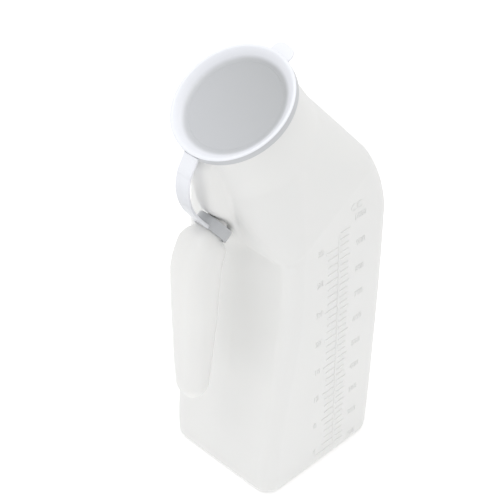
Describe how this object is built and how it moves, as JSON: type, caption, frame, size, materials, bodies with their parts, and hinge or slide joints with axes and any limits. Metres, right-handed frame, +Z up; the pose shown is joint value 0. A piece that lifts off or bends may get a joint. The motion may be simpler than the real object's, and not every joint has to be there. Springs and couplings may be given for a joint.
{
  "type": "urine bottle",
  "caption": "Graduated urinal bottle with a forward-leaning neck, a hanging hooked grip and a snap cap tied on by a flat strap.",
  "frame": {"origin": "middle of the flat base, on the surface the bottle stands on", "axes": "+Z up through the body, -Y towards the grip and the side the mouth leans to, +X towards the graduated side"},
  "size_m": [0.0824, 0.1175, 0.2587],
  "materials": {
    "natural_hdpe": "satin",
    "white_ldpe": "satin"
  },
  "bodies": {
    "bottle": {"bottle_body": "natural_hdpe", "bottle_neck": "natural_hdpe", "grip_handle": "natural_hdpe", "strap_ring": "white_ldpe"},
    "strap_lower": {"strap_lower": "white_ldpe"},
    "strap_upper": {"strap_upper": "white_ldpe"},
    "cap": {"snap_cap": "white_ldpe"}
  },
  "joints": [
    {"name": "strap_root_bend", "type": "hinge", "parent": "bottle", "child": "strap_lower", "pos_m": [0, -0.05618, 0.18617], "axis": [1, 0, 0], "range_deg": [0, 60]},
    {"name": "strap_mid_bend", "type": "hinge", "parent": "strap_lower", "child": "strap_upper", "pos_m": [0, -0.0614, 0.20295], "axis": [1, 0, 0], "range_deg": [0, 45]},
    {"name": "cap_swing", "type": "hinge", "parent": "strap_upper", "child": "cap", "pos_m": [0, -0.0556, 0.2194], "axis": [1, 0, 0], "range_deg": [0, 105]}
  ],
  "couplings": [
    {"joint": "cap_swing", "follows": "strap_root_bend", "ratio": 1.75},
    {"joint": "strap_mid_bend", "follows": "strap_root_bend", "ratio": 0.75}
  ]
}
